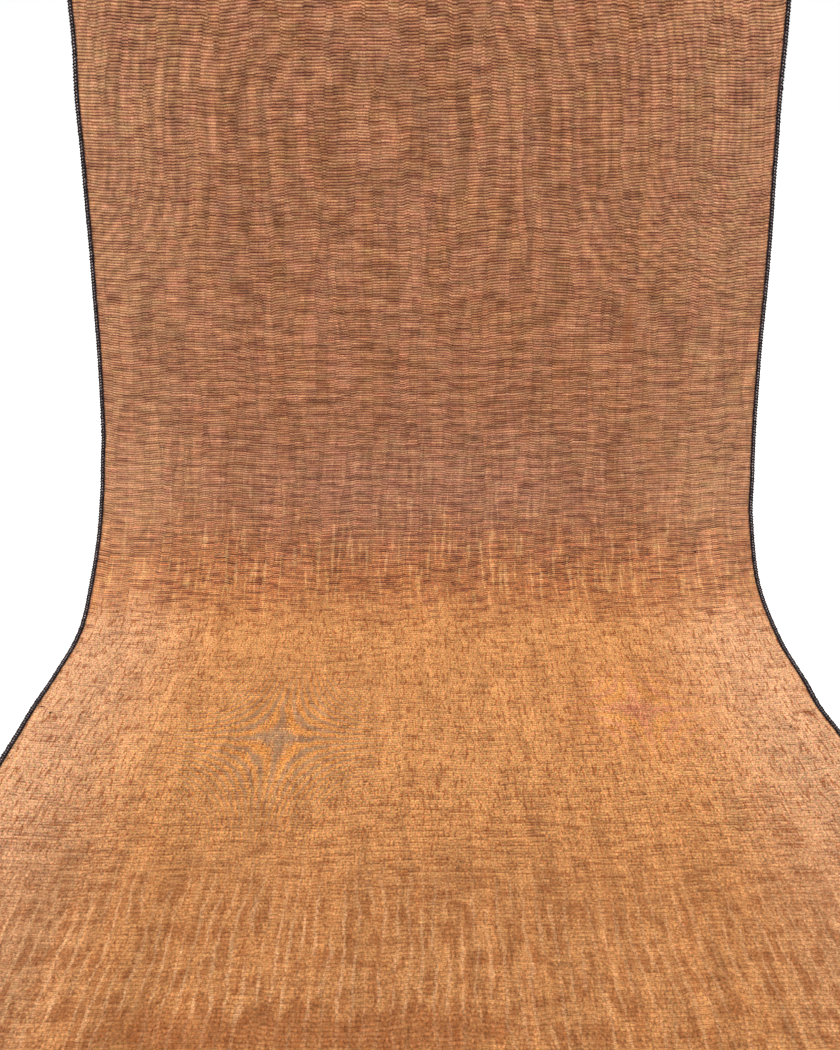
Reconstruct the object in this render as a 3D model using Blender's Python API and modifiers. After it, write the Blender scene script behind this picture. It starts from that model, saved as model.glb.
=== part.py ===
"""A length of ribbed moire cloth with overlocked sides.

It hangs from its top edge, leaning back a little, turns forward in one soft sweep and lies on the surface.
Metres, +Z up. The hanging part is at +Y and the lying part runs towards -Y. The origin is on the surface,
under the middle of the whole piece.
"""

import math
from collections import namedtuple

import bmesh
import bpy
import numpy as np

# The cloth laid flat, with its overlocked sides
FLAT_LENGTH = 1.0
FLAT_WIDTH = 0.60
CLOTH_THICKNESS = 0.0015

# How it lies, turns and hangs: lengths along the cloth, and its slope in degrees
LYING_LENGTH = 0.371
SWEEP_LENGTH = 0.288
SLOPE_ABOVE_SWEEP = 75.0
SLOPE_AT_TOP = 78.0
# Below 1, most of the turn comes in the first half of the sweep
EARLY_TURN = 0.61

# The overlock wraps the cloth's margin, which its stitches squeeze thinner
OVERLOCK_WIDTH = 0.0042
THREAD_LAYER = 0.0005
STITCH_GAP = 0.0003
MARGIN_THICKNESS = 0.0010
MARGIN_WIDTH = 0.0045
MARGIN_TAPER = 0.0085
EDGE_ROUND = 0.0006
FLOOR_CLEARANCE = 0.0001
LAP_STEPS = 4

# Faces along and across the cloth
LYING_ROWS = 20
SWEEP_ROWS = 28
HANGING_ROWS = 18
BODY_COLUMNS = 20
PATH_STEPS = 2000

CLOTH_HALF_WIDTH = FLAT_WIDTH / 2 - EDGE_ROUND - THREAD_LAYER
CHANNEL_RISE = MARGIN_THICKNESS / 2 + STITCH_GAP
BODY_LEVEL = CLOTH_THICKNESS / 2
MARGIN_LEVEL = FLOOR_CLEARANCE + THREAD_LAYER + CHANNEL_RISE

# The uneven side edges: how far each is shifted to +X, in millimetres, at a distance from the front end,
# in metres
EdgeShift = namedtuple("EdgeShift", "along left right")
EDGE_SHIFTS = (
    EdgeShift(0.000, 0.0, 0.0),
    EdgeShift(0.150, 0.5, -0.5),
    EdgeShift(0.270, -0.6, 0.4),
    EdgeShift(0.305, -1.2, -2.0),
    EdgeShift(0.340, 0.0, -0.2),
    EdgeShift(0.400, 0.2, 0.3),
    EdgeShift(0.460, -2.4, -2.3),
    EdgeShift(0.520, -1.3, -1.2),
    EdgeShift(0.560, -0.2, 0.9),
    EdgeShift(0.600, 1.5, 1.2),
    EdgeShift(0.660, 2.2, 1.2),
    EdgeShift(0.750, 1.9, 2.5),
    EdgeShift(0.830, 1.0, 1.4),
    EdgeShift(0.880, 0.2, 0.4),
    EdgeShift(0.925, 1.8, 0.8),
    EdgeShift(1.000, 0.0, 0.3),
)

# Soft flutes down the hanging part: where across, how wide and how far forward, in metres
Flute = namedtuple("Flute", "centre width forward")
FLUTES = (
    Flute(-0.235, 0.050, -0.0018),
    Flute(-0.150, 0.055, 0.0014),
    Flute(-0.075, 0.040, -0.0015),
    Flute(0.020, 0.070, 0.0016),
    Flute(0.105, 0.050, -0.0010),
    Flute(0.185, 0.045, -0.0018),
    Flute(0.250, 0.040, 0.0012),
)


def smooth_step(value):
    """0 below 0, 1 above 1, and a soft start and end between."""
    value = np.clip(value, 0.0, 1.0)
    return value * value * (3 - 2 * value)


def side_path():
    """Distance along the cloth, depth and height of its underside, from the front end to the top."""
    along = np.linspace(0, FLAT_LENGTH, PATH_STEPS + 1)
    turn = smooth_step(np.clip((along - LYING_LENGTH) / SWEEP_LENGTH, 0, 1) ** EARLY_TURN)
    hanging_start = LYING_LENGTH + SWEEP_LENGTH
    climb = np.clip((along - hanging_start) / (FLAT_LENGTH - hanging_start), 0, 1)
    slope = np.radians(SLOPE_ABOVE_SWEEP * turn + (SLOPE_AT_TOP - SLOPE_ABOVE_SWEEP) * climb)
    step = FLAT_LENGTH / PATH_STEPS
    middle_slope = (slope[1:] + slope[:-1]) / 2
    depth = np.concatenate(([0], np.cumsum(np.cos(middle_slope)) * step))
    height = np.concatenate(([0], np.cumsum(np.sin(middle_slope)) * step))
    return along, depth, height, slope


PATH_ALONG, PATH_DEPTH, PATH_HEIGHT, PATH_SLOPE = side_path()
WHOLE_DEPTH = PATH_DEPTH[-1]


def edge_shift(side, along):
    """How far the named side edge is shifted to +X at this distance from the front end."""
    distances = [row.along for row in EDGE_SHIFTS]
    shifts = [getattr(row, side) / 1000 for row in EDGE_SHIFTS]
    upper = min(np.searchsorted(distances, along, side="right"), len(distances) - 1)
    start, end = distances[upper - 1], distances[upper]
    share = smooth_step((along - start) / (end - start))
    return shifts[upper - 1] + (shifts[upper] - shifts[upper - 1]) * share


def flute_forward(across, along):
    """How far the flutes push the hanging cloth forward, fading out down the sweep."""
    reach = CLOTH_HALF_WIDTH - MARGIN_WIDTH
    across = min(max(across, -reach), reach)
    fade = smooth_step((along - LYING_LENGTH - SWEEP_LENGTH / 2) / SWEEP_LENGTH)
    pushes = [flute.forward * math.exp(-(((across - flute.centre) / flute.width) ** 2)) for flute in FLUTES]
    return fade * sum(pushes)


def cloth_point(across, along, level):
    """A point at this place on the flat cloth, this far in front of its back face."""
    share = across / (2 * CLOTH_HALF_WIDTH) + 0.5
    shift = (1 - share) * edge_shift("left", along) + share * edge_shift("right", along)
    slope = np.interp(along, PATH_ALONG, PATH_SLOPE)
    level = level + flute_forward(across, along)
    return (
        across + shift,
        np.interp(along, PATH_ALONG, PATH_DEPTH) - math.sin(slope) * level,
        np.interp(along, PATH_ALONG, PATH_HEIGHT) + math.cos(slope) * level,
    )


def row_distances():
    """Distances from the front end at which every piece has its corners, closest in the sweep."""
    sweep_end = LYING_LENGTH + SWEEP_LENGTH
    lying = np.linspace(0, LYING_LENGTH, LYING_ROWS, endpoint=False)
    sweep = np.linspace(LYING_LENGTH, sweep_end, SWEEP_ROWS, endpoint=False)
    hanging = np.linspace(sweep_end, FLAT_LENGTH, HANGING_ROWS + 1)
    return np.concatenate((lying, sweep, hanging))


def column_places():
    """Places across the cloth: each edge, its squeezed margin, the taper beside it, and the body."""
    margin = CLOTH_HALF_WIDTH - MARGIN_WIDTH
    body = margin - MARGIN_TAPER
    inner = np.linspace(-body, body, BODY_COLUMNS + 1)
    return np.concatenate(([-CLOTH_HALF_WIDTH, -margin], inner, [margin, CLOTH_HALF_WIDTH]))


def grid_object(name, columns, rows, place, material):
    """An open surface of faces, whose corners stand where place(column, row) says."""
    surface = bmesh.new()
    bmesh.ops.create_grid(surface, x_segments=len(columns) - 1, y_segments=len(rows) - 1, size=0.5)
    for corner in surface.verts:
        column = round((corner.co.x + 0.5) * (len(columns) - 1))
        row = round((corner.co.y + 0.5) * (len(rows) - 1))
        corner.co = place(columns[column], rows[row])
    mesh = bpy.data.meshes.new(name)
    surface.to_mesh(mesh)
    surface.free()
    mesh.shade_smooth()
    mesh.materials.append(material)
    piece = bpy.data.objects.new(name, mesh)
    piece.location.y = -WHOLE_DEPTH / 2
    parts.objects.link(piece)
    return piece


def thickened(piece, thickness, offset):
    """Gives an open surface its thickness: centred on it at offset 0, and outside it at offset 1."""
    shell = piece.modifiers.new("Thickness", "SOLIDIFY")
    shell.thickness = thickness
    shell.offset = offset
    shell.use_even_offset = True
    return shell


def cloth_material(name, colour, roughness):
    """A matt cloth or thread of one colour."""
    material = bpy.data.materials.new(name)
    material.use_nodes = True
    shader = material.node_tree.nodes["Principled BSDF"]
    shader.inputs["Base Color"].default_value = (*colour, 1.0)
    shader.inputs["Roughness"].default_value = roughness
    shader.inputs["Metallic"].default_value = 0.0
    return material


def is_squeezed(across):
    """Whether this place across the cloth is in a margin, which the overlock squeezes."""
    return abs(across) > CLOTH_HALF_WIDTH - MARGIN_WIDTH - MARGIN_TAPER / 2


def build_cloth(rows, material):
    """The ribbed cloth, one sheet, thinner along the margins that the overlock squeezes."""

    def place(across, along):
        return cloth_point(across, along, MARGIN_LEVEL if is_squeezed(across) else BODY_LEVEL)

    cloth = grid_object("cloth", column_places(), rows, place, material)
    body = cloth.vertex_groups.new(name="full thickness")
    body.add([corner.index for corner in cloth.data.vertices if not is_squeezed(corner.co.x)], 1.0, "REPLACE")
    shell = thickened(cloth, CLOTH_THICKNESS, 0)
    shell.vertex_group = body.name
    shell.thickness_vertex_group = MARGIN_THICKNESS / CLOTH_THICKNESS


def channel_section():
    """The inside of the overlock in section: (reach past the edge, rise over the margin), front lip first."""
    lip = (EDGE_ROUND + THREAD_LAYER) - OVERLOCK_WIDTH
    angles = [math.pi / 2 - math.pi * step / LAP_STEPS for step in range(LAP_STEPS + 1)]
    lap = [(EDGE_ROUND * math.cos(angle), CHANNEL_RISE * math.sin(angle)) for angle in angles]
    return [(lip, CHANNEL_RISE), *lap, (lip, -CHANNEL_RISE)]


def build_overlock(side, direction, rows, material):
    """The overlock of one side: a thin layer of thread that wraps the margin's front, edge and back."""
    section = channel_section()
    if direction < 0:
        section.reverse()

    def place(wrap, along):
        reach, rise = wrap
        x, y, z = cloth_point(direction * CLOTH_HALF_WIDTH, along, MARGIN_LEVEL + rise)
        return (x + direction * reach, y, z)

    overlock = grid_object(f"overlock_{side}", section, rows, place, material)
    thickened(overlock, THREAD_LAYER, 1)


for old in list(bpy.data.objects):
    bpy.data.objects.remove(old, do_unlink=True)

parts = bpy.data.collections.new("Ribbed moire cloth")
bpy.context.scene.collection.children.link(parts)

cloth_rows = row_distances()
copper = cloth_material("Copper ribbed cloth", (0.50, 0.22, 0.09), 0.8)
thread = cloth_material("Dark overlock thread", (0.020, 0.012, 0.018), 0.75)
build_cloth(cloth_rows, copper)
build_overlock("left", -1, cloth_rows, thread)
build_overlock("right", 1, cloth_rows, thread)
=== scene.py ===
import math
from collections import namedtuple

import bpy
import numpy as np
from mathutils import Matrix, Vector


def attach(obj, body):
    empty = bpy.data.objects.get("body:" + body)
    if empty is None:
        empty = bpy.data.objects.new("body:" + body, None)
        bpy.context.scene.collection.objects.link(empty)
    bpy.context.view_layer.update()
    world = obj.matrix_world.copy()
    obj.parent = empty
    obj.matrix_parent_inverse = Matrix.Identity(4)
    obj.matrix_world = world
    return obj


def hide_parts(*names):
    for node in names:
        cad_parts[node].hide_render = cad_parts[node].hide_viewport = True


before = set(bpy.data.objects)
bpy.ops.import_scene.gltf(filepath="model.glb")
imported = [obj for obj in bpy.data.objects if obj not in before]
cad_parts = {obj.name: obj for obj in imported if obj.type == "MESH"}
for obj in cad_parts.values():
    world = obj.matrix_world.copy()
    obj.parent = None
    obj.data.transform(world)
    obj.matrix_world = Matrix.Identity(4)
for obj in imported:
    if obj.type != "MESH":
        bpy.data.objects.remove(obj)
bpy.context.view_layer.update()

bpy.ops.object.select_all(action="DESELECT")


# Camera
# It looks down at the cloth from a little over its lying part, with a wide lens, so the front corners run out
# of the picture and the hanging part narrows upwards.
LENS = 29.83
SENSOR = 36.0
CAMERA_PLACE = (-0.0066, -0.5367, 0.4191)
CAMERA_PITCH_DOWN = 26.49

camera_turn = (math.radians(90 - CAMERA_PITCH_DOWN), 0, 0)
bpy.ops.object.camera_add(location=CAMERA_PLACE, rotation=camera_turn)
camera = bpy.context.object
camera.data.lens = LENS
camera.data.sensor_width = SENSOR
camera.data.clip_start = 0.01
bpy.context.scene.camera = camera


# Floor and light
# A white studio: a wide pale floor under even white light from all round, and two large soft lamps. One is in
# front of the hanging part and one is above the lying part.
FLOOR_SIZE = 40.0
FLOOR_DROP = 0.0002
FLOOR_GLOW = 0.35
WORLD_STRENGTH = 1.0
TOP_LAMP = {"place": (0.0, -0.25, 1.9), "aim": (0.0, 0.0, 0.0), "size": 1.8, "watts": 8.0}
FRONT_LAMP = {"place": (-0.5, -2.4, 1.3), "aim": (0.0, 0.2, 0.25), "size": 1.6, "watts": 4.0}

bpy.ops.mesh.primitive_plane_add(size=FLOOR_SIZE, location=(0, 0, -FLOOR_DROP))
floor = bpy.context.object
floor.name = "floor"
floor_white = bpy.data.materials.new("Pale studio floor")
floor_white.use_nodes = True
floor_shader = floor_white.node_tree.nodes["Principled BSDF"]
floor_shader.inputs["Base Color"].default_value = (0.95, 0.95, 0.95, 1)
floor_shader.inputs["Roughness"].default_value = 0.9
floor_shader.inputs["Emission Color"].default_value = (1, 1, 1, 1)
floor_shader.inputs["Emission Strength"].default_value = FLOOR_GLOW
floor.data.materials.append(floor_white)

world = bpy.context.scene.world or bpy.data.worlds.new("Studio")
bpy.context.scene.world = world
world.use_nodes = True
world.node_tree.nodes["Background"].inputs["Color"].default_value = (1, 1, 1, 1)
world.node_tree.nodes["Background"].inputs["Strength"].default_value = WORLD_STRENGTH
bpy.context.scene.view_settings.view_transform = "Standard"


def add_soft_lamp(name, place, aim, size, watts):
    bpy.ops.object.light_add(type="AREA", location=place)
    lamp = bpy.context.object
    lamp.name = name
    lamp.data.shape = "SQUARE"
    lamp.data.size = size
    lamp.data.energy = watts
    lamp.rotation_euler = (Vector(aim) - Vector(place)).to_track_quat("-Z", "Y").to_euler()


add_soft_lamp("top lamp", **TOP_LAMP)
add_soft_lamp("front lamp", **FRONT_LAMP)


# Cloth
# One cut length of crosswise-ribbed cotton and silk. Thick wefts make the ribs, and fine warps cover them. It
# hangs from its top edge, leans back a little and turns forward to lie on the surface.
FLAT_LENGTH = 1.0
FLAT_WIDTH = 0.60
CLOTH_THICKNESS = 0.0015
LYING_LENGTH = 0.371
SWEEP_LENGTH = 0.288
SLOPE_ABOVE_SWEEP = 75.0
SLOPE_AT_TOP = 78.0
# Below 1, most of the turn comes in the first half of the sweep
EARLY_TURN = 0.61
PATH_STEPS = 2000

OVERLOCK_WIDTH = 0.0042
THREAD = 0.0005
EDGE_ROUND = 0.0006
CLOTH_HALF_WIDTH = FLAT_WIDTH / 2 - EDGE_ROUND - THREAD
MARGIN_WIDTH = 0.0045
MARGIN_TAPER = 0.0085
MARGIN_THICKNESS = 0.0009
MARGIN_LEVEL = 0.0014

# The ribs: the height of each row of corners in one, and their pitch at a distance from the front end
RIB_HEIGHT = 0.0005
RIB_SHARE_AT_EDGE = 0.3
ROWS_IN_RIB = 3
RIB_ROW_HEIGHTS = (0.0, 1.0, 0.93)
RibPitch = namedtuple("RibPitch", "along pitch")
RIB_PITCHES = (
    RibPitch(0.00, 0.00243),
    RibPitch(0.38, 0.00240),
    RibPitch(0.50, 0.00212),
    RibPitch(0.60, 0.00210),
    RibPitch(1.00, 0.00258),
)
PITCH_UNEVENNESS = 0.07

# The uneven side edges: how far each is shifted to +X, in millimetres, at a distance from the front end,
# in metres
EdgeShift = namedtuple("EdgeShift", "along left right")
EDGE_SHIFTS = (
    EdgeShift(0.000, 0.0, 0.0),
    EdgeShift(0.150, 0.5, -0.5),
    EdgeShift(0.270, -0.6, 0.4),
    EdgeShift(0.305, -1.2, -2.0),
    EdgeShift(0.340, 0.0, -0.2),
    EdgeShift(0.400, 0.2, 0.3),
    EdgeShift(0.460, -2.4, -2.3),
    EdgeShift(0.520, -1.3, -1.2),
    EdgeShift(0.560, -0.2, 0.9),
    EdgeShift(0.600, 1.5, 1.2),
    EdgeShift(0.660, 2.2, 1.2),
    EdgeShift(0.750, 1.9, 2.5),
    EdgeShift(0.830, 1.0, 1.4),
    EdgeShift(0.880, 0.2, 0.4),
    EdgeShift(0.925, 1.8, 0.8),
    EdgeShift(1.000, 0.0, 0.3),
)

# Soft flutes down the hanging part: where across, how wide and how far forward
Flute = namedtuple("Flute", "centre width forward")
FLUTES = (
    Flute(-0.235, 0.050, -0.0018),
    Flute(-0.150, 0.055, 0.0014),
    Flute(-0.075, 0.040, -0.0015),
    Flute(0.020, 0.070, 0.0016),
    Flute(0.105, 0.050, -0.0010),
    Flute(0.185, 0.045, -0.0018),
    Flute(0.250, 0.040, 0.0012),
)

# Lines along the length where the ribs step: the place across of each, and how far the ribs rise past it
RibStep = namedtuple("RibStep", "across rise")
RIB_STEPS = (
    RibStep(-0.268, 0.0010),
    RibStep(-0.241, -0.0012),
    RibStep(-0.207, 0.0014),
    RibStep(-0.176, -0.0010),
    RibStep(-0.139, 0.0015),
    RibStep(-0.098, -0.0014),
    RibStep(-0.067, 0.0009),
    RibStep(-0.021, 0.0016),
    RibStep(0.018, -0.0018),
    RibStep(0.052, 0.0012),
    RibStep(0.094, -0.0009),
    RibStep(0.131, 0.0015),
    RibStep(0.163, -0.0014),
    RibStep(0.204, 0.0010),
    RibStep(0.236, -0.0012),
    RibStep(0.266, 0.0012),
)
RIB_STEP_WIDTH = 0.003
# Each step comes and goes along the cloth, in waves of its own, in radians to a metre
RIB_STEP_WAVES = (19, 24, 29, 34)
RIB_STEP_PHASE = 1.7
# The ribs also rise at both sides, and wave a little all over, in radians to a metre each way
EDGE_BOW = 0.0032
EDGE_BOW_REACH = 0.020
RibWave = namedtuple("RibWave", "rise across along")
RIB_WAVES = (
    RibWave(0.0010, 41, 6),
    RibWave(0.0006, 97, -11),
)
STRAIGHT_END = 0.03


def smooth_step(value):
    """0 below 0, 1 above 1, and a soft start and end between."""
    value = np.clip(value, 0.0, 1.0)
    return value * value * (3 - 2 * value)


def side_path():
    """Distance along the cloth, depth, height and slope of its underside, from the front end to the top."""
    along = np.linspace(0, FLAT_LENGTH, PATH_STEPS + 1)
    turn = smooth_step(np.clip((along - LYING_LENGTH) / SWEEP_LENGTH, 0, 1) ** EARLY_TURN)
    hanging_start = LYING_LENGTH + SWEEP_LENGTH
    climb = np.clip((along - hanging_start) / (FLAT_LENGTH - hanging_start), 0, 1)
    slope = np.radians(SLOPE_ABOVE_SWEEP * turn + (SLOPE_AT_TOP - SLOPE_ABOVE_SWEEP) * climb)
    step = FLAT_LENGTH / PATH_STEPS
    middle_slope = (slope[1:] + slope[:-1]) / 2
    depth = np.concatenate(([0], np.cumsum(np.cos(middle_slope)) * step))
    height = np.concatenate(([0], np.cumsum(np.sin(middle_slope)) * step))
    return along, depth - depth[-1] / 2, height, slope


PATH_ALONG, PATH_DEPTH, PATH_HEIGHT, PATH_SLOPE = side_path()


def edge_shift(side, along):
    """How far the named side edge is shifted to +X at this distance from the front end."""
    distances = np.array([row.along for row in EDGE_SHIFTS])
    shifts = np.array([getattr(row, side) for row in EDGE_SHIFTS]) / 1000
    upper = np.clip(np.searchsorted(distances, along, side="right"), 1, len(distances) - 1)
    share = smooth_step((along - distances[upper - 1]) / (distances[upper] - distances[upper - 1]))
    return shifts[upper - 1] + (shifts[upper] - shifts[upper - 1]) * share


def flute_forward(across, along):
    """How far the flutes push the hanging cloth forward, fading out down the sweep."""
    reach = CLOTH_HALF_WIDTH - MARGIN_WIDTH
    across = np.clip(across, -reach, reach)
    fade = smooth_step((along - LYING_LENGTH - SWEEP_LENGTH / 2) / SWEEP_LENGTH)
    pushes = [flute.forward * np.exp(-(((across - flute.centre) / flute.width) ** 2)) for flute in FLUTES]
    return fade * sum(pushes)


def on_cloth(across, along, level):
    """Where a place on the flat cloth, this far in front of its back face, stands in the drape."""
    share = across / (2 * CLOTH_HALF_WIDTH) + 0.5
    shift = (1 - share) * edge_shift("left", along) + share * edge_shift("right", along)
    slope = np.interp(along, PATH_ALONG, PATH_SLOPE)
    level = level + flute_forward(across, along)
    x = across + shift
    y = np.interp(along, PATH_ALONG, PATH_DEPTH) - np.sin(slope) * level
    z = np.interp(along, PATH_ALONG, PATH_HEIGHT) + np.cos(slope) * level
    return np.stack((x, y, z), axis=-1)


def rib_rows():
    """Rib number and distance along of every row of corners, a few rows to a rib."""
    along = np.linspace(0, FLAT_LENGTH, PATH_STEPS + 1)
    pitch = np.interp(along, [row.along for row in RIB_PITCHES], [row.pitch for row in RIB_PITCHES])
    count = np.concatenate(([0], np.cumsum(1 / pitch[1:]) * FLAT_LENGTH / PATH_STEPS))
    ribs = int(count[-1])
    number = np.arange(ribs * ROWS_IN_RIB + 1) / ROWS_IN_RIB
    wobble = np.random.default_rng(7).normal(0, PITCH_UNEVENNESS, ribs + 1)
    wobble[0] = wobble[-1] = 0
    drift = np.interp(number, np.arange(ribs + 1), wobble)
    return number, np.interp((number + drift) * count[-1] / ribs, count, along)


def rib_rise(across, along):
    """How far a rib strays up the cloth: bowed at both sides, stepped at lines along the length, and wavy."""
    from_edge = CLOTH_HALF_WIDTH - np.abs(across)
    rise = EDGE_BOW * np.exp(-from_edge / EDGE_BOW_REACH)
    for index, step in enumerate(RIB_STEPS):
        past = smooth_step((across - step.across) / RIB_STEP_WIDTH + 0.5)
        waves = RIB_STEP_WAVES[index % len(RIB_STEP_WAVES)]
        strength = 0.5 + 0.5 * np.sin(along * waves + index * RIB_STEP_PHASE)
        rise = rise + step.rise * strength * past
    for wave in RIB_WAVES:
        rise = rise + wave.rise * np.sin(across * wave.across + along * wave.along)
    ends = smooth_step(along / STRAIGHT_END) * smooth_step((FLAT_LENGTH - along) / STRAIGHT_END)
    return rise * ends


def cloth_columns():
    """Places across the cloth: each edge, its margin and taper, and both sides of every rib step."""
    margin = CLOTH_HALF_WIDTH - MARGIN_WIDTH
    body = margin - MARGIN_TAPER
    steps = [step.across + side * RIB_STEP_WIDTH / 2 for step in RIB_STEPS for side in (-1, 1)]
    return np.array(sorted([-CLOTH_HALF_WIDTH, -margin, -body, *steps, body, margin, CLOTH_HALF_WIDTH]))


columns = cloth_columns()
rib_numbers, row_places = rib_rows()
bpy.ops.mesh.primitive_grid_add(x_subdivisions=len(columns) - 1, y_subdivisions=len(row_places) - 1, size=1)
cloth = bpy.context.object
cloth.name = "moire_cloth"
corner_places = np.empty(len(cloth.data.vertices) * 3)
cloth.data.vertices.foreach_get("co", corner_places)
corner_places = corner_places.reshape(-1, 3)
corner_column = np.rint((corner_places[:, 0] + 0.5) * (len(columns) - 1)).astype(int)
corner_row = np.rint((corner_places[:, 1] + 0.5) * (len(row_places) - 1)).astype(int)

across = columns[corner_column]
rib_number = rib_numbers[corner_row]
along = row_places[corner_row]
along = along + rib_rise(across, along)
in_body = smooth_step((CLOTH_HALF_WIDTH - MARGIN_WIDTH - np.abs(across)) / MARGIN_TAPER)
relief = np.array(RIB_ROW_HEIGHTS)[corner_row % ROWS_IN_RIB] - 1
front_level = in_body * CLOTH_THICKNESS + (1 - in_body) * (MARGIN_LEVEL + MARGIN_THICKNESS / 2)
rib_share = RIB_SHARE_AT_EDGE + (1 - RIB_SHARE_AT_EDGE) * in_body
front_level = front_level + relief * RIB_HEIGHT * rib_share
cloth.data.vertices.foreach_set("co", on_cloth(across, along, front_level).ravel())

corner_of_loop = np.empty(len(cloth.data.loops), int)
cloth.data.loops.foreach_get("vertex_index", corner_of_loop)
cloth.data.uv_layers[0].name = "flat"
flat_map = np.stack((across, along), axis=-1)[corner_of_loop]
cloth.data.uv_layers["flat"].data.foreach_set("uv", flat_map.ravel())
rib_map = np.stack((across, rib_number), axis=-1)[corner_of_loop]
cloth.data.uv_layers.new(name="ribs").data.foreach_set("uv", rib_map.ravel())
cloth.data.update()

shell = cloth.modifiers.new("Thickness", "SOLIDIFY")
shell.thickness = CLOTH_THICKNESS - RIB_HEIGHT
shell.offset = -1
bpy.ops.object.modifier_apply(modifier=shell.name)
bpy.ops.object.shade_smooth()


def paint(red, green, blue):
    """A colour as it shows on a screen, from 0 to 255, as the shader's linear colour."""
    shares = [value / 255 for value in (red, green, blue)]
    return (*[share / 12.92 if share < 0.04045 else ((share + 0.055) / 1.055) ** 2.4 for share in shares], 1)


def add_node(tree, kind, settings=None, **inputs):
    """A shader node. An input given as a socket is linked to it, and any other is set."""
    made = tree.nodes.new(kind)
    for name, value in (settings or {}).items():
        setattr(made, name, value)
    for name, value in inputs.items():
        socket = made.inputs[name.replace("_", " ")]
        if isinstance(value, bpy.types.NodeSocket):
            tree.links.new(value, socket)
        else:
            socket.default_value = value
    return made


def calculate(tree, operation, *values):
    made = tree.nodes.new("ShaderNodeMath")
    made.operation = operation
    for socket, value in zip(made.inputs, values):
        if isinstance(value, bpy.types.NodeSocket):
            tree.links.new(value, socket)
        else:
            socket.default_value = value
    return made.outputs["Value"]


def blend(tree, share, first, second):
    """The first colour where share is 0 and the second where it is 1."""
    made = tree.nodes.new("ShaderNodeMix")
    made.data_type = "RGBA"
    for socket, value in zip((made.inputs[0], made.inputs[6], made.inputs[7]), (share, first, second)):
        if isinstance(value, bpy.types.NodeSocket):
            tree.links.new(value, socket)
        else:
            socket.default_value = value
    return made.outputs[2]


def ease(tree, value, low, high, start=0.0, end=1.0):
    """Start below low, end above high, and a soft step between."""
    made = add_node(
        tree,
        "ShaderNodeMapRange",
        {"interpolation_type": "SMOOTHSTEP"},
        Value=value,
        From_Min=low,
        From_Max=high,
        To_Min=start,
        To_Max=end,
    )
    return made.outputs["Result"]


def stretched_noise(tree, place, across, along, detail=2.0, roughness=0.55, shift=0.0, output=0):
    """Noise with so many features to a metre across and along."""
    mapping = add_node(
        tree, "ShaderNodeMapping", Vector=place, Scale=(across, along, 1), Location=(shift, shift, 0)
    )
    noise = add_node(
        tree,
        "ShaderNodeTexNoise",
        {"noise_dimensions": "2D"},
        Vector=mapping.outputs["Vector"],
        Scale=1.0,
        Detail=detail,
        Roughness=roughness,
    )
    return noise.outputs[output]


def swing(tree, noise, reach, start=0.0):
    """Start, plus or minus up to half the reach as the noise goes from 0 to 1."""
    return calculate(tree, "MULTIPLY_ADD", calculate(tree, "SUBTRACT", noise, 0.5), reach, start)


def product(tree, first, *others):
    for other in others:
        first = calculate(tree, "MULTIPLY", first, other)
    return first


def doubled(tree, colour):
    made = add_node(tree, "ShaderNodeVectorMath", {"operation": "SCALE"}, Vector=colour, Scale=2.0)
    return made.outputs["Vector"]


def near(tree, value, middle, reach, fade):
    """1 within the reach of the middle, and 0 past the reach and its fade."""
    distance = calculate(tree, "ABSOLUTE", calculate(tree, "SUBTRACT", value, middle))
    return ease(tree, distance, reach + fade, reach)


# The hanging colours are darker than the lying ones, partly the cloth's own colour and partly painted shade
# for the light from above, which falls more on the lying part.
HANGING_BODY = paint(156, 102, 65)
HANGING_SIDE = paint(177, 126, 89)
HANGING_ROSE = paint(170, 113, 83)
# The crest colours are painted highlights, and the hanging one also colours pale streaks low on the hanging
# part. The valley colours are partly the weft's own and partly painted shade.
HANGING_CREST_HIGHLIGHT_AND_STREAK = paint(224, 173, 132)
HANGING_VALLEY = paint(78, 30, 18)
HANGING_MAUVE = paint(168, 115, 90)
LYING_BODY = paint(214, 149, 90)
LYING_SIDE = paint(224, 168, 124)
LYING_CREST_HIGHLIGHT = paint(240, 184, 128)
LYING_VALLEY = paint(130, 66, 32)
TURN_BODY = paint(164, 107, 68)
TURN_ORANGE = paint(204, 110, 48)
TURN_GOLD = paint(226, 166, 96)
TURN_DARK = paint(104, 62, 56)
FRONT_STREAK = paint(236, 180, 128)
LYING_FLECK = paint(158, 84, 40)
FRONT_BROWN = paint(160, 92, 46)
FIGURE_GREY = paint(146, 122, 98)
FIGURE_GOLD = paint(228, 148, 66)
FIGURE_PINK = paint(208, 124, 100)
# A red for painted shadow in a small fold, a stain brown, and a black for specks and for painted shade in a
# crease line
FOLD_SHADOW_RED = paint(138, 66, 34)
STAIN_BROWN = paint(134, 74, 32)
SPECK_AND_CREASE_SHADE_BLACK = paint(48, 30, 24)

# Watered figures, where crests and valleys of the weave drift in and out of step: two stars and some rings
Star = namedtuple("Star", "across along reach tightness strength dark")
STARS = (
    Star(-0.108, 0.269, 0.140, 22000, 0.85, FIGURE_GREY),
    Star(0.160, 0.303, 0.085, 16000, 0.62, FIGURE_PINK),
)
Rings = namedtuple("Rings", "across along reach tightness strength")
RINGS = Rings(-0.046, 0.852, 0.42, 1250, 0.14)

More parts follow.
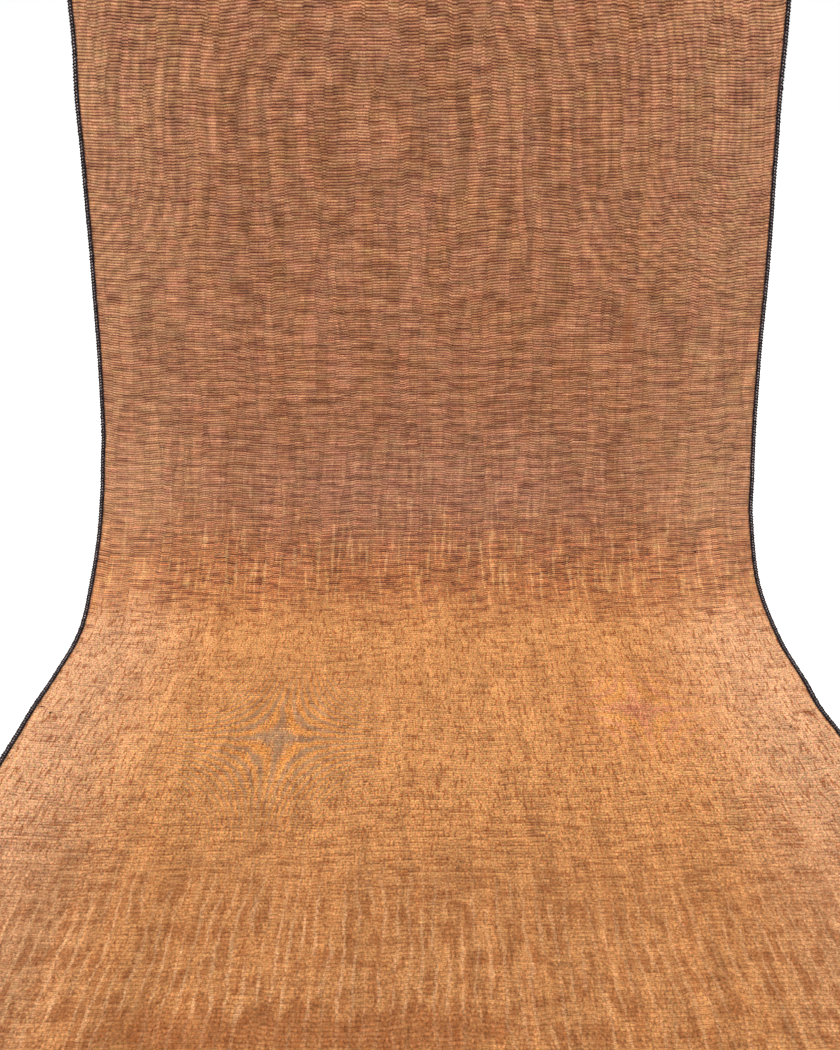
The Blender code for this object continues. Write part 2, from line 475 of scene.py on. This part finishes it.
# Small stains and slubs, and the painted shadow, painted highlight and painted shade of small creases near
# the
# right edge: the place of each, and its reach across and along
Spot = namedtuple("Spot", "across along reach_across reach_along")
DARK_SPECKS_AND_CREASE_SHADE = (
    Spot(-0.0551, 0.8739, 0.0008, 0.0008),
    Spot(-0.2920, 0.3050, 0.0020, 0.0010),
    Spot(-0.2832, 0.2982, 0.0012, 0.0012),
    Spot(-0.2599, 0.2958, 0.0010, 0.0010),
    Spot(0.2658, 0.2820, 0.0012, 0.0012),
    Spot(0.2454, 0.4854, 0.0010, 0.0012),
    # Painted shade in a short crease line near the right edge
    Spot(0.2931, 0.3780, 0.0022, 0.0007),
    Spot(0.2590, 0.3330, 0.0012, 0.0008),
)
STAINS = (
    Spot(0.1785, 0.693, 0.007, 0.036),
    Spot(0.2620, 0.3260, 0.006, 0.0016),
)
# Painted shadow in a small fold at the right edge
FOLD_SHADOW_SPOTS = (
    Spot(0.2870, 0.2972, 0.0058, 0.0034),
    Spot(0.2768, 0.2972, 0.0024, 0.0036),
)
# A painted highlight on the same fold's ridge
CREASE_HIGHLIGHT_SPOTS = (
    Spot(0.2860, 0.3035, 0.0100, 0.0010),
)

# Where the looks change, as distances from the front end, or from the middle line for the sides. The first
# number is where a look isn't there yet, and the second is where it is full.
HANGS = (0.405, 0.490)
HANGS_LOW = (0.66, 0.52)
TURNS_FROM_FRONT = (0.395, 0.460)
TURNS_FROM_TOP = (0.550, 0.460)
SIDES = (0.16, 0.28)
FRONT = (0.24, 0.12)
FRONT_END = (0.180, 0.110)
DASHES_MIDDLE = 0.165
BAND_ACROSS = -0.07
BAND_ALONG = 0.050
# The light creases at the front, in radians to a metre across
CREASE_WAVES = 860.0

cloth_finish = bpy.data.materials.new("Copper moire cloth")
cloth_finish.use_nodes = True
tree = cloth_finish.node_tree
cloth_shader = tree.nodes["Principled BSDF"]
flat_place = add_node(tree, "ShaderNodeUVMap", {"uv_map": "flat"}).outputs["UV"]
rib_place = add_node(tree, "ShaderNodeUVMap", {"uv_map": "ribs"}).outputs["UV"]
flat_axes = add_node(tree, "ShaderNodeSeparateXYZ", Vector=flat_place)
rib_axes = add_node(tree, "ShaderNodeSeparateXYZ", Vector=rib_place)
place_across = flat_axes.outputs["X"]
place_along = flat_axes.outputs["Y"]

blotches = stretched_noise(tree, flat_place, 120, 70, 3.0, 0.6, shift=3.1)
streaks = stretched_noise(tree, flat_place, 230, 30, 2.0, 0.6, shift=7.7)
speckle = stretched_noise(tree, flat_place, 760, 620, 1.0, 0.7, shift=5.9)
tint = stretched_noise(tree, flat_place, 560, 480, 1.0, 0.7, shift=2.6, output="Color")
flecks = stretched_noise(tree, flat_place, 420, 90, 2.0, 0.6, shift=6.3)
dashes = stretched_noise(tree, flat_place, 45, 420, 2.0, 0.6, shift=11.3)
drift = stretched_noise(tree, flat_place, 30, 22, 3.0, 0.6, shift=9.2)
wander = stretched_noise(tree, flat_place, 85, 22, 3.0, 0.6, shift=4.4)

# Each rib has light and dark stretches of its own, and a tint that changes along it
rib_index = calculate(tree, "FLOOR", rib_axes.outputs["Y"])
own_place = add_node(
    tree, "ShaderNodeCombineXYZ", X=place_across, Y=calculate(tree, "MULTIPLY", rib_index, 3.37)
).outputs["Vector"]
slivers = stretched_noise(tree, own_place, 46, 1, 3.0, 0.55, shift=1.3)
rib_tint = stretched_noise(tree, own_place, 60, 1, 1.0, 0.6, shift=8.1, output="Color")

# The warps lie in long narrow columns, each with its own tone, and the ribs step a little between them
column_place = add_node(
    tree, "ShaderNodeCombineXYZ", X=swing(tree, wander, 0.012, place_across), Y=place_along
).outputs["Vector"]
column_mapping = add_node(tree, "ShaderNodeMapping", Vector=column_place, Scale=(115, 10, 1))
column_mapped = column_mapping.outputs["Vector"]
columns_of_warp = add_node(
    tree, "ShaderNodeTexVoronoi", {"voronoi_dimensions": "2D"}, Vector=column_mapped, Scale=1.0
)
column_edges = add_node(
    tree,
    "ShaderNodeTexVoronoi",
    {"voronoi_dimensions": "2D", "feature": "DISTANCE_TO_EDGE"},
    Vector=column_mapped,
    Scale=1.0,
)
column_edge = ease(tree, column_edges.outputs["Distance"], 0.13, 0.03)
column_values = add_node(tree, "ShaderNodeSeparateColor", Color=columns_of_warp.outputs["Color"])
column_step = column_values.outputs["Red"]
column_tone = column_values.outputs["Green"]
column_hue = column_values.outputs["Blue"]

# Where the cloth turns up, its colour changes raggedly from the lying part's gold to the hanging part's
# brown, partly the cloth's own change and partly painted shade for the light from above, which falls more on
# the lying part.
ragged_along = swing(tree, slivers, 0.05, swing(tree, drift, 0.04, swing(tree, streaks, 0.03, place_along)))
hanging = ease(tree, ragged_along, *HANGS)
low_hanging = product(tree, hanging, ease(tree, ragged_along, *HANGS_LOW))
turn = product(tree, ease(tree, ragged_along, *TURNS_FROM_FRONT), ease(tree, ragged_along, *TURNS_FROM_TOP))
side = ease(tree, calculate(tree, "ABSOLUTE", place_across), *SIDES)
front = ease(tree, place_along, *FRONT)
front_end = ease(tree, swing(tree, blotches, 0.04, place_along), *FRONT_END)

# A rib's valley shows dark, partly the weft's own colour and partly painted shade, and its crest shows a
# painted highlight. In front, where the cloth lies, a fine groove parts each rib, painted in the valley's
# dark.
stray = swing(tree, wander, calculate(tree, "MULTIPLY_ADD", hanging, -0.7, 1.3), rib_axes.outputs["Y"])
stray = swing(tree, column_step, calculate(tree, "MULTIPLY_ADD", hanging, 0.5, 0.3), stray)
stray = swing(tree, speckle, calculate(tree, "MULTIPLY_ADD", hanging, -0.40, 0.5), stray)
from_valley = calculate(tree, "PINGPONG", stray, 0.5)
from_groove = calculate(tree, "PINGPONG", calculate(tree, "MULTIPLY", stray, 2.0), 0.5)
valley = ease(tree, from_valley, 0.26, 0.08)
groove = ease(tree, from_groove, 0.36, 0.10)
valley_strength = calculate(tree, "MULTIPLY_ADD", hanging, 0.45, 0.34)
valley_strength = calculate(tree, "MULTIPLY_ADD", low_hanging, -0.15, valley_strength)
valley_strength = product(tree, valley_strength, ease(tree, slivers, 0.36, 0.64, 0.60, 1.15))
groove = product(tree, groove, front, 0.42)
valley = calculate(tree, "MAXIMUM", product(tree, valley, valley_strength), groove)
# A painted highlight along the middle of each crest
light = product(tree, ease(tree, from_valley, 0.30, 0.47), ease(tree, slivers, 0.70, 0.35))
light = product(tree, light, calculate(tree, "MULTIPLY_ADD", hanging, 0.30, 0.35))

hanging_body = blend(tree, side, HANGING_BODY, HANGING_SIDE)
rose = calculate(tree, "MULTIPLY_ADD", column_hue, 0.45, ease(tree, drift, 0.40, 0.60, 0.0, 0.45))
hanging_body = blend(tree, rose, hanging_body, HANGING_ROSE)
hanging_body = blend(tree, product(tree, low_hanging, side, 0.22), hanging_body, LYING_SIDE)
mauve = product(tree, low_hanging, near(tree, place_across, 0.0, 0.05, 0.20), 0.75)
hanging_body = blend(tree, mauve, hanging_body, HANGING_MAUVE)
lying_body = blend(tree, side, LYING_BODY, LYING_SIDE)
body = blend(tree, hanging, lying_body, hanging_body)
crest_highlight_colour = blend(tree, hanging, LYING_CREST_HIGHLIGHT, HANGING_CREST_HIGHLIGHT_AND_STREAK)
valley_colour = blend(tree, hanging, LYING_VALLEY, HANGING_VALLEY)

# The turn: orange and gold flecks between dark stretches of single ribs
body = blend(tree, product(tree, turn, ease(tree, side, 0.0, 1.0, 0.70, 0.15)), body, TURN_BODY)
body = blend(tree, product(tree, turn, ease(tree, speckle, 0.48, 0.60, 0.0, 0.70)), body, TURN_ORANGE)
body = blend(tree, product(tree, turn, ease(tree, streaks, 0.54, 0.64, 0.0, 0.50)), body, TURN_GOLD)
slub = product(tree, ease(tree, slivers, 0.54, 0.62), ease(tree, from_valley, 0.40, 0.20))
slub_strength = calculate(tree, "MULTIPLY_ADD", turn, 0.40, 0.35)
slub = product(tree, slub, calculate(tree, "MULTIPLY_ADD", front_end, -0.22, slub_strength))
body = blend(tree, slub, body, TURN_DARK)
light_streaks = product(tree, low_hanging, ease(tree, streaks, 0.58, 0.72, 0.0, 0.30))
body = blend(tree, light_streaks, body, HANGING_CREST_HIGHLIGHT_AND_STREAK)

# The front: light creases that run along the length, close together, with brown between them. Behind them,
# thin brown dashes lie along single ribs.
crease_place = swing(tree, drift, 0.012, swing(tree, wander, 0.0022, place_across))
crease = calculate(tree, "SINE", calculate(tree, "MULTIPLY", crease_place, CREASE_WAVES))
creased = product(tree, front_end, ease(tree, wander, 0.34, 0.50))
creased = product(tree, creased, ease(tree, blotches, 0.36, 0.50, 0.50, 1.0))
creased = product(tree, creased, ease(tree, place_across, 0.08, -0.08, 0.65, 1.0))
body = blend(tree, product(tree, front_end, ease(tree, blotches, 0.46, 0.60, 0.0, 0.56)), body, FRONT_BROWN)
dash_zone = near(tree, place_along, DASHES_MIDDLE, 0.015, 0.060)
body = blend(tree, product(tree, dash_zone, ease(tree, dashes, 0.50, 0.64, 0.0, 0.58)), body, FRONT_BROWN)
body = blend(tree, product(tree, creased, ease(tree, crease, 0.0, -0.9, 0.0, 0.22)), body, FRONT_BROWN)
body = blend(tree, product(tree, creased, ease(tree, crease, 0.45, 0.98, 0.0, 0.72)), body, FRONT_STREAK)
band_across = near(tree, place_across, BAND_ACROSS, 0.06, 0.08)
band_along = near(tree, swing(tree, wander, 0.03, place_along), BAND_ALONG, 0.006, 0.010)
body = blend(tree, product(tree, band_across, band_along, 0.6), body, FRONT_BROWN)

# Brown flecks along the warps where the cloth lies
flecked = product(tree, ease(tree, hanging, 1.0, 0.0), ease(tree, front, 0.0, 1.0, 1.0, 0.5))
flecked = product(tree, flecked, ease(tree, flecks, 0.56, 0.65, 0.0, 0.78))
body = blend(tree, flecked, body, LYING_FLECK)

for star in STARS:
    aside = calculate(tree, "SUBTRACT", place_across, star.across)
    ahead = calculate(tree, "SUBTRACT", place_along, star.along)
    square = calculate(tree, "MULTIPLY_ADD", aside, aside, product(tree, ahead, ahead))
    saddle = product(tree, aside, ahead, star.tightness)
    saddle = swing(tree, blotches, 4.0, swing(tree, speckle, 4.0, saddle))
    rays = calculate(tree, "COSINE", saddle)
    shown = ease(tree, calculate(tree, "SQRT", square), star.reach, 0.0, 0.0, star.strength)
    shown = product(tree, shown, ease(tree, speckle, 0.36, 0.56, 0.30, 1.0))
    body = blend(tree, product(tree, shown, ease(tree, rays, 0.1, -0.9)), body, FIGURE_GOLD)
    body = blend(tree, product(tree, shown, ease(tree, rays, -0.1, 0.9)), body, star.dark)

cloth_colour = blend(tree, valley, blend(tree, light, body, crest_highlight_colour), valley_colour)

# Rings and bands of the hanging part, the columns' own tones, fine flecks, and painted shade: a front that
# darkens slowly and a top a little darker, with the most light where the cloth starts to turn up
ring_across = calculate(tree, "SUBTRACT", place_across, RINGS.across)
ring_along = calculate(tree, "SUBTRACT", place_along, RINGS.along)
roundness = product(tree, ring_across, ring_across, ease(tree, place_along, 0.66, 0.84, 0.05, 1.3))
ring_square = calculate(tree, "MULTIPLY_ADD", ring_along, ring_along, roundness)
ring_phase = calculate(tree, "MULTIPLY", ring_square, RINGS.tightness)
ring_phase = swing(tree, column_step, 1.6, swing(tree, wander, 4.0, ring_phase))
ring_shown = product(tree, hanging, ease(tree, ring_square, RINGS.reach ** 2, 0.0, 0.8, 1.0), RINGS.strength)
shade = calculate(tree, "MULTIPLY_ADD", calculate(tree, "COSINE", ring_phase), ring_shown, 1.0)
shade = product(tree, shade, swing(tree, column_tone, 0.20, 1.0), swing(tree, slivers, -0.36, 1.0))
shade = product(tree, shade, calculate(tree, "MULTIPLY_ADD", product(tree, column_edge, hanging), -0.16, 1.0))
streak_depth = calculate(tree, "MULTIPLY_ADD", hanging, -0.22, 0.46)
shade = product(tree, shade, swing(tree, drift, -0.10, 1.0), swing(tree, streaks, streak_depth, 1.0))
grain = calculate(tree, "MULTIPLY_ADD", hanging, -0.6, 1.8)
grain = calculate(tree, "MULTIPLY_ADD", front_end, -0.3, grain)
# Painted shade: darker towards the top and towards the front end, lightest where the cloth starts to turn up
shade = product(tree, shade, swing(tree, speckle, grain, 1.0), ease(tree, place_along, 0.5, 1.0, 1.05, 0.96))
shade = product(tree, shade, ease(tree, place_along, 0.0, 0.42, 0.87, 1.04))
shaded = add_node(tree, "ShaderNodeVectorMath", {"operation": "SCALE"}, Vector=cloth_colour, Scale=shade)
tint_strength = calculate(tree, "MULTIPLY_ADD", hanging, -0.18, 0.32)
tint_strength = calculate(tree, "MULTIPLY_ADD", front, -0.22, tint_strength)
tint = doubled(tree, blend(tree, hanging, tint, rib_tint))
tinted = add_node(tree, "ShaderNodeVectorMath", {"operation": "MULTIPLY"}, Vector=shaded.outputs["Vector"])
tree.links.new(blend(tree, tint_strength, (1, 1, 1, 1), tint), tinted.inputs[1])
cloth_colour = tinted.outputs["Vector"]


def spots_mask(tree, spots):
    """1 in the middle of each spot and 0 outside all of them."""
    mask = 0.0
    for spot in spots:
        aside = calculate(tree, "SUBTRACT", place_across, spot.across)
        aside = calculate(tree, "DIVIDE", aside, spot.reach_across)
        ahead = calculate(tree, "SUBTRACT", place_along, spot.along)
        ahead = calculate(tree, "DIVIDE", ahead, spot.reach_along)
        square = calculate(tree, "MULTIPLY_ADD", aside, aside, product(tree, ahead, ahead))
        mask = calculate(tree, "MAXIMUM", mask, ease(tree, square, 1.2, 0.2))
    return mask


stained = product(tree, spots_mask(tree, STAINS), ease(tree, streaks, 0.35, 0.60, 0.15, 0.48))
cloth_colour = blend(tree, stained, cloth_colour, STAIN_BROWN)
# Painted shadow in the small fold at the right edge, a painted highlight on its ridge, and dark specks, one
# of them painted shade in a crease line
painted_fold_shadow = product(tree, spots_mask(tree, FOLD_SHADOW_SPOTS), ease(tree, flecks, 0.35, 0.60, 0.35, 0.95))
cloth_colour = blend(tree, painted_fold_shadow, cloth_colour, FOLD_SHADOW_RED)
cloth_colour = blend(tree, product(tree, spots_mask(tree, CREASE_HIGHLIGHT_SPOTS), 0.7), cloth_colour, FRONT_STREAK)
cloth_colour = blend(tree, spots_mask(tree, DARK_SPECKS_AND_CREASE_SHADE), cloth_colour, SPECK_AND_CREASE_SHADE_BLACK)
tree.links.new(cloth_colour, cloth_shader.inputs["Base Color"])
cloth_shader.inputs["Specular IOR Level"].default_value = 0.10
cloth_shader.inputs["Sheen Weight"].default_value = 0.03
cloth_shader.inputs["Sheen Roughness"].default_value = 0.5
tree.links.new(ease(tree, speckle, 0.2, 0.8, 0.82, 0.66), cloth_shader.inputs["Roughness"])

# The fine warps, as bump
WARP_PITCH = 0.00045
WARP_DEPTH = 0.00012
warp_count = calculate(tree, "DIVIDE", place_across, WARP_PITCH)
warps = calculate(tree, "PINGPONG", warp_count, 0.5)
weave_height = calculate(tree, "MULTIPLY_ADD", speckle, 0.6, warps)
weave = add_node(tree, "ShaderNodeBump", Height=weave_height, Distance=WARP_DEPTH, Strength=0.6)
tree.links.new(weave.outputs["Normal"], cloth_shader.inputs["Normal"])
cloth.data.materials.append(cloth_finish)

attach(cloth, "root")
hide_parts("cloth")


# Overlocks
# Dark thread is sewn over each raw side by machine. Its loops slant across the margin's front and back and
# lock over the edge, so they look like a narrow braid. Each stitch shows a pale bead between two dark rows.
STITCH_LENGTH = 0.0025
STITCHES = round(FLAT_LENGTH / STITCH_LENGTH)
THREAD_LIFT = 0.00105
BAND_RISE = 0.0009
BAND_LAYER = 0.0002
BAND_ROWS = 130
LAP_STEPS = 4

# The strands of one stitch: the middle of each past the cloth's edge, along the stitch and above the margin,
# its size that way, and how many degrees it slants towards the next stitch
Strand = namedtuple("Strand", "past along above width length height slant")
STRANDS = (
    Strand(-0.0023, 0.0008, THREAD_LIFT, 0.0022, 0.0013, THREAD, 34),
    Strand(-0.0002, 0.0019, THREAD_LIFT, 0.0020, 0.0012, THREAD, -34),
    Strand(-0.0011, 0.0006, THREAD_LIFT, 0.0011, 0.0012, 0.0007, 25),
    Strand(0.00085, 0.0013, 0.0, 0.0010, 0.0015, 0.0021, 0),
    Strand(-0.0013, 0.0012, -THREAD_LIFT, 0.0034, 0.0009, THREAD, 20),
)
BEAD_PAST = -0.0011
BEAD_ALONG = 0.0006
BEAD_REACH = 0.00042

# The stitches waver a little past the edge, in radians to a metre along
Waver = namedtuple("Waver", "past along")
WAVERS = (
    Waver(0.00014, 731),
    Waver(0.00012, 1907),
)

# Knots and thread ends in the overlocks: the side each is on, its distance along and its reach
KNOT_PAST = 0.0002
KNOT_SHAPE = (0.8, 1.3, 0.8)
Knot = namedtuple("Knot", "side along reach")
KNOTS = (
    Knot("left", 0.923, 0.0014),
    Knot("left", 0.790, 0.0015),
    Knot("left", 0.780, 0.0017),
    Knot("left", 0.687, 0.0013),
    Knot("left", 0.610, 0.0014),
    Knot("left", 0.598, 0.0015),
    Knot("right", 0.887, 0.0015),
)

THREAD_DARK = paint(12, 6, 10)
THREAD_PLUM = paint(40, 26, 34)
THREAD_FLECK = paint(120, 106, 108)
BEAD_PALE = paint(206, 190, 182)

thread_finish = bpy.data.materials.new("Dark overlock thread")
thread_finish.use_nodes = True
tree = thread_finish.node_tree
thread_shader = tree.nodes["Principled BSDF"]
thread_place = add_node(tree, "ShaderNodeTexCoord").outputs["Object"]
twist = add_node(tree, "ShaderNodeTexNoise", Vector=thread_place, Scale=420.0, Detail=2.0).outputs[0]
flecks = add_node(tree, "ShaderNodeTexNoise", Vector=thread_place, Scale=900.0, Detail=1.0).outputs[0]
thread_colour = blend(tree, ease(tree, twist, 0.40, 0.65), THREAD_DARK, THREAD_PLUM)
thread_colour = blend(tree, ease(tree, flecks, 0.62, 0.72, 0.0, 0.6), thread_colour, THREAD_FLECK)

# The pale bead of every stitch, fainter in some
sewn_place = add_node(tree, "ShaderNodeUVMap", {"uv_map": "sewn"}).outputs["UV"]
sewn_axes = add_node(tree, "ShaderNodeSeparateXYZ", Vector=sewn_place)
bead_past = calculate(tree, "SUBTRACT", sewn_axes.outputs["X"], BEAD_PAST)
stitch_start = calculate(tree, "SUBTRACT", sewn_axes.outputs["Y"], BEAD_ALONG)
bead_along = calculate(tree, "PINGPONG", stitch_start, STITCH_LENGTH / 2)
bead_square = calculate(tree, "MULTIPLY_ADD", bead_past, bead_past, product(tree, bead_along, bead_along))
bead = ease(tree, calculate(tree, "SQRT", bead_square), BEAD_REACH * 1.35, BEAD_REACH * 0.85)
soiling = add_node(tree, "ShaderNodeTexNoise", Vector=thread_place, Scale=70.0, Detail=3.0).outputs[0]
bead = product(tree, bead, ease(tree, twist, 0.35, 0.60, 0.35, 1.0))
bead = product(tree, bead, ease(tree, soiling, 0.35, 0.60, 0.55, 1.0))
thread_colour = blend(tree, bead, thread_colour, BEAD_PALE)
tree.links.new(thread_colour, thread_shader.inputs["Base Color"])
thread_shader.inputs["Specular IOR Level"].default_value = 0.15
tree.links.new(ease(tree, twist, 0.3, 0.7, 0.85, 0.6), thread_shader.inputs["Roughness"])
fibres = add_node(tree, "ShaderNodeBump", Height=flecks, Distance=0.0001, Strength=0.7)
tree.links.new(fibres.outputs["Normal"], thread_shader.inputs["Normal"])


def around_margin(piece, direction):
    """Moves a flat piece, as (past the edge, along, above the margin), onto its side of the drape."""
    flat = np.empty(len(piece.data.vertices) * 3)
    piece.data.vertices.foreach_get("co", flat)
    past, along, above = flat.reshape(-1, 3).T
    along = np.clip(along, 0, FLAT_LENGTH)
    corner_of_loop = np.empty(len(piece.data.loops), int)
    piece.data.loops.foreach_get("vertex_index", corner_of_loop)
    sewn_map = np.stack((past, along), axis=-1)[corner_of_loop]
    piece.data.uv_layers.new(name="sewn").data.foreach_set("uv", sewn_map.ravel())
    for waver in WAVERS:
        past = past + waver.past * np.sin(along * waver.along)
    edge = on_cloth(np.full_like(along, direction * CLOTH_HALF_WIDTH), along, MARGIN_LEVEL + above)
    edge[:, 0] += direction * past
    piece.data.vertices.foreach_set("co", edge.ravel())
    piece.data.update()


def add_strand(strand):
    bpy.ops.mesh.primitive_uv_sphere_add(
        segments=8,
        ring_count=6,
        radius=0.5,
        location=(strand.past, strand.along, strand.above),
        rotation=(0, 0, math.radians(strand.slant)),
        scale=(strand.width, strand.length, strand.height),
    )
    return bpy.context.object


def join_pieces(pieces):
    bpy.ops.object.select_all(action="DESELECT")
    for piece in pieces:
        piece.select_set(True)
    bpy.context.view_layer.objects.active = pieces[0]
    bpy.ops.object.join()
    bpy.ops.object.transform_apply(location=True, rotation=True, scale=True)
    return bpy.context.object


def add_band():
    """The thin layer of thread under the strands: a ribbon that wraps the margin's front, edge and back."""
    lip = EDGE_ROUND + THREAD - OVERLOCK_WIDTH
    bends = [math.pi / 2 - math.pi * step / LAP_STEPS for step in range(LAP_STEPS + 1)]
    lap = [(EDGE_ROUND * math.cos(bend), BAND_RISE * math.sin(bend)) for bend in bends]
    section = np.array([(lip, BAND_RISE), *lap, (lip, -BAND_RISE)])
    bpy.ops.mesh.primitive_grid_add(x_subdivisions=len(section) - 1, y_subdivisions=BAND_ROWS, size=1)
    band = bpy.context.object
    corners = np.empty(len(band.data.vertices) * 3)
    band.data.vertices.foreach_get("co", corners)
    corners = corners.reshape(-1, 3)
    along_section = np.rint((corners[:, 0] + 0.5) * (len(section) - 1)).astype(int)
    along = (corners[:, 1] + 0.5) * FLAT_LENGTH
    flat = np.stack((section[along_section, 0], along, section[along_section, 1]), axis=-1)
    band.data.vertices.foreach_set("co", flat.ravel())
    layer = band.modifiers.new("Layer", "SOLIDIFY")
    layer.thickness = BAND_LAYER
    layer.offset = 1
    bpy.ops.object.modifier_apply(modifier=layer.name)
    return band


def add_overlock(side, direction):
    stitch = join_pieces([add_strand(strand) for strand in STRANDS])
    rows = stitch.modifiers.new("Stitches", "ARRAY")
    rows.count = STITCHES
    rows.use_relative_offset = False
    rows.use_constant_offset = True
    rows.constant_offset_displace = (0, STITCH_LENGTH, 0)
    bpy.ops.object.modifier_apply(modifier=rows.name)
    knots = []
    for knot in KNOTS:
        if knot.side == side:
            place = (KNOT_PAST, knot.along, 0.0)
            bpy.ops.mesh.primitive_ico_sphere_add(
                subdivisions=3, radius=knot.reach, location=place, scale=KNOT_SHAPE
            )
            knots.append(bpy.context.object)
    overlock = join_pieces([stitch, add_band(), *knots])
    overlock.name = f"overlock_thread_{side}"
    around_margin(overlock, direction)
    if direction < 0:
        bpy.ops.object.mode_set(mode="EDIT")
        bpy.ops.mesh.select_all(action="SELECT")
        bpy.ops.mesh.flip_normals()
        bpy.ops.object.mode_set(mode="OBJECT")
    bpy.ops.object.shade_smooth()
    overlock.data.materials.clear()
    overlock.data.materials.append(thread_finish)
    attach(overlock, "root")
    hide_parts(f"overlock_{side}")
    return overlock


overlocks = [add_overlock("left", -1), add_overlock("right", 1)]
